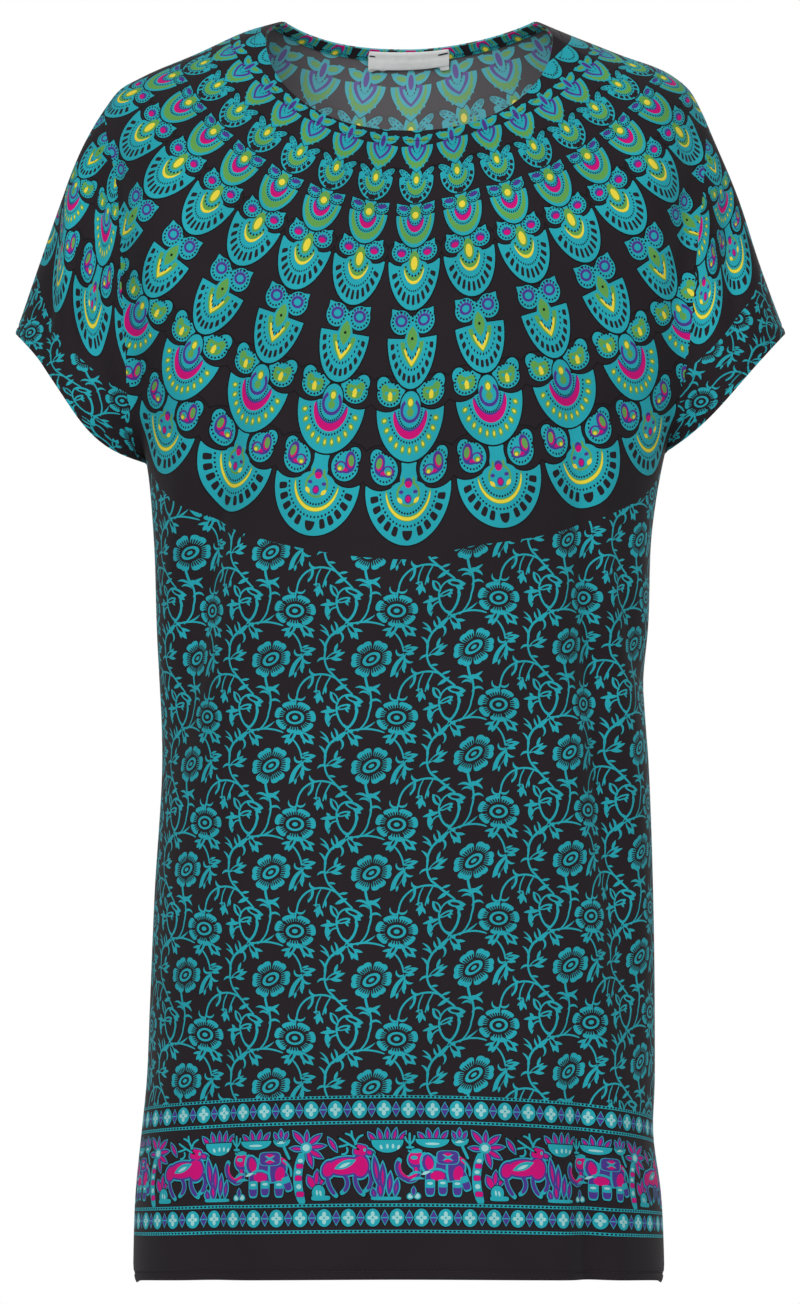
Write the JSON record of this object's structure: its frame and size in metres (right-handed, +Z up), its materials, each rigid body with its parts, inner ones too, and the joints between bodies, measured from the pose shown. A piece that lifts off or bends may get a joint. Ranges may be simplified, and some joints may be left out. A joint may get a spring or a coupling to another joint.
{
  "type": "kaftan",
  "caption": "Knee-length printed kaftan with a scoop neck and short cut-on sleeves, in its hollow worn form.",
  "frame": {"origin": "the level of the neck ends of the shoulder seams, midway between the garment's sides, where the wearer's shoulders hold it", "axes": "+Z up along the body, -Y out of the front, +X to the viewer's right of the front view"},
  "size_m": [0.5484, 0.2457, 0.8981],
  "materials": {
    "printed_cloth": "matte",
    "facing_cloth": "matte",
    "label_tape": "satin"
  },
  "bodies": {
    "root": {"front": "printed_cloth", "back": "printed_cloth", "neck_facing": "facing_cloth", "label": "label_tape"}
  },
  "joints": []
}
